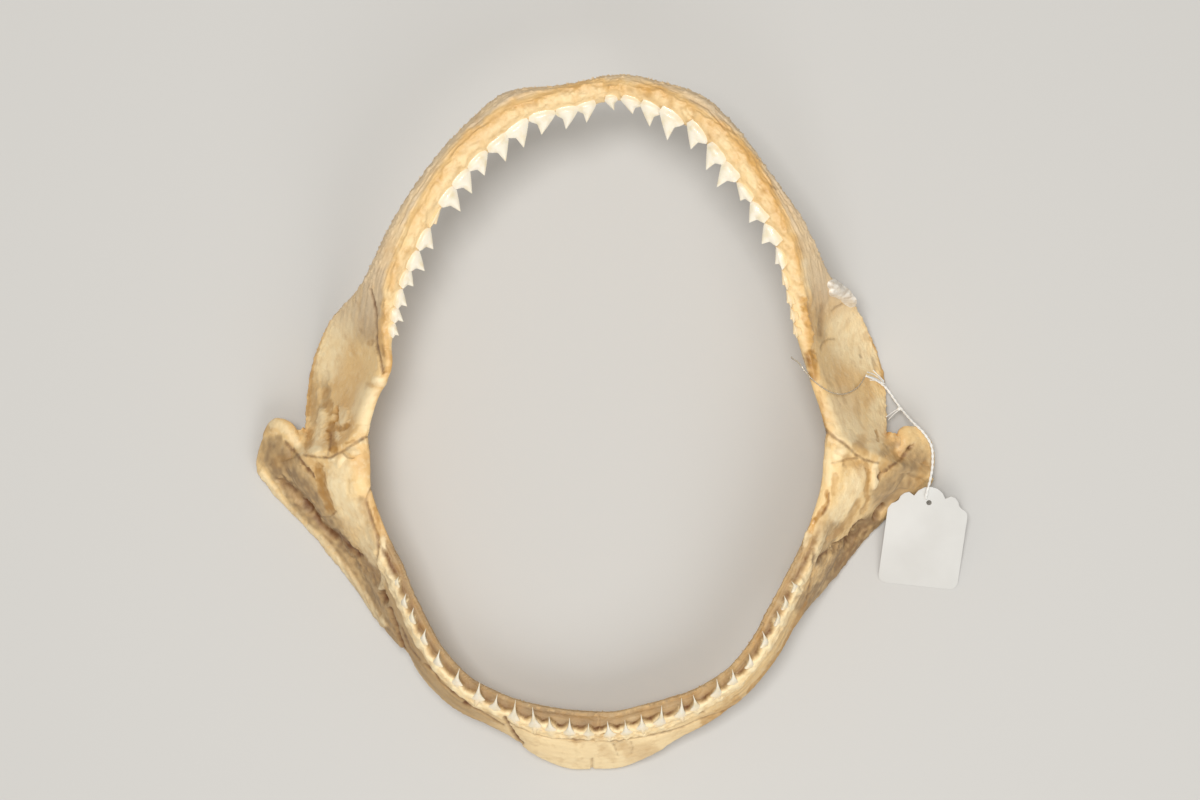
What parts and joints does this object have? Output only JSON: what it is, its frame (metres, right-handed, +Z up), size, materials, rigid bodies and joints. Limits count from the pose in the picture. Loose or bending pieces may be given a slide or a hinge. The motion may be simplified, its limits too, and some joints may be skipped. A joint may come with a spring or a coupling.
{
  "type": "shark jaw",
  "caption": "Dried shark jaw with its mouth wide open, toothed upper and lower halves meeting at side hinges, with a blank strung paper tag.",
  "frame": {"origin": "on the floor, under the middle of the jaw's own outline as seen from above", "axes": "+Z up out of the open mouth, towards the viewer; +Y to the front of the upper jaw; +X to the right as seen from above"},
  "size_m": [0.2824, 0.2701, 0.0713],
  "materials": {
    "dried_cartilage": "dried cartilage, satin to matte",
    "paper": "matte uncoated paper",
    "cotton_thread": "matte twisted cotton",
    "clear_nylon": "glossy clear nylon line"
  },
  "bodies": {
    "root": {"upper_jaw_left": "dried_cartilage", "upper_jaw_right": "dried_cartilage", "lower_jaw_left": "dried_cartilage", "lower_jaw_right": "dried_cartilage", "tag": "paper", "tag_string": "cotton_thread", "nylon_stitch": "clear_nylon"}
  },
  "joints": []
}
